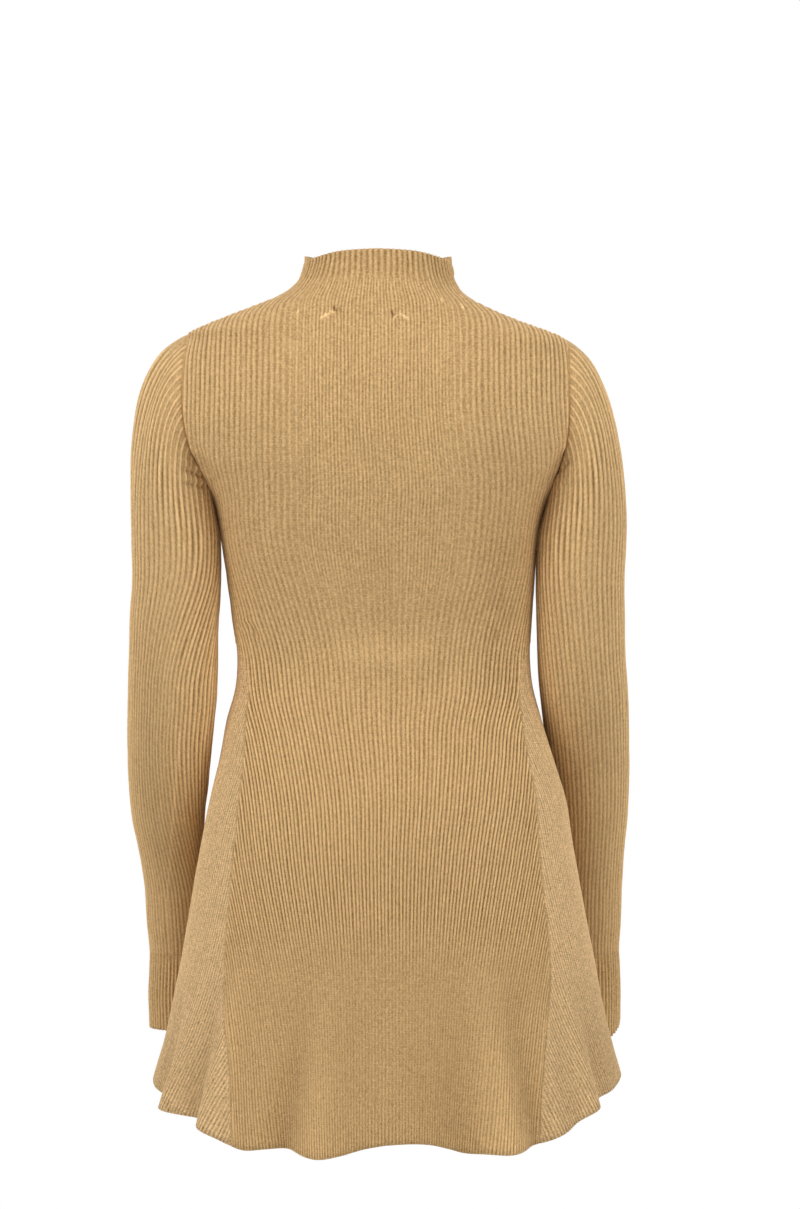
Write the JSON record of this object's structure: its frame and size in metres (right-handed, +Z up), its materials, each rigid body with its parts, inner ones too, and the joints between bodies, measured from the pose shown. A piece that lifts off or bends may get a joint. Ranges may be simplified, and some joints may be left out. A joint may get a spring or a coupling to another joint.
{
  "type": "sweater dress",
  "caption": "Worn rib-knit sweater dress with a funnel neck, long set-in sleeves with cuffs, and a skirt flared by side gores; hollow, with neck, cuffs and hem open.",
  "frame": {"origin": "midway between the shoulder seams and level with the base of the neck, where the dress hangs from the wearer's shoulders", "axes": "+Z up towards the neck, +Y towards the back of the dress, +X towards the wearer's left"},
  "size_m": [0.4546, 0.3478, 0.7878],
  "materials": {
    "rib_knit": "soft matte rib knit in camel yarn",
    "fine_knit": "soft matte fine knit in camel yarn",
    "sleeve_knit": "soft matte rib knit in camel yarn",
    "cuff_knit": "soft matte wide-rib knit in camel yarn"
  },
  "bodies": {
    "root": {"back": "rib_knit", "front": "rib_knit", "gore_left": "fine_knit", "gore_right": "fine_knit", "sleeve_left": "sleeve_knit", "sleeve_right": "sleeve_knit", "cuff_left": "cuff_knit", "cuff_right": "cuff_knit"}
  },
  "joints": []
}
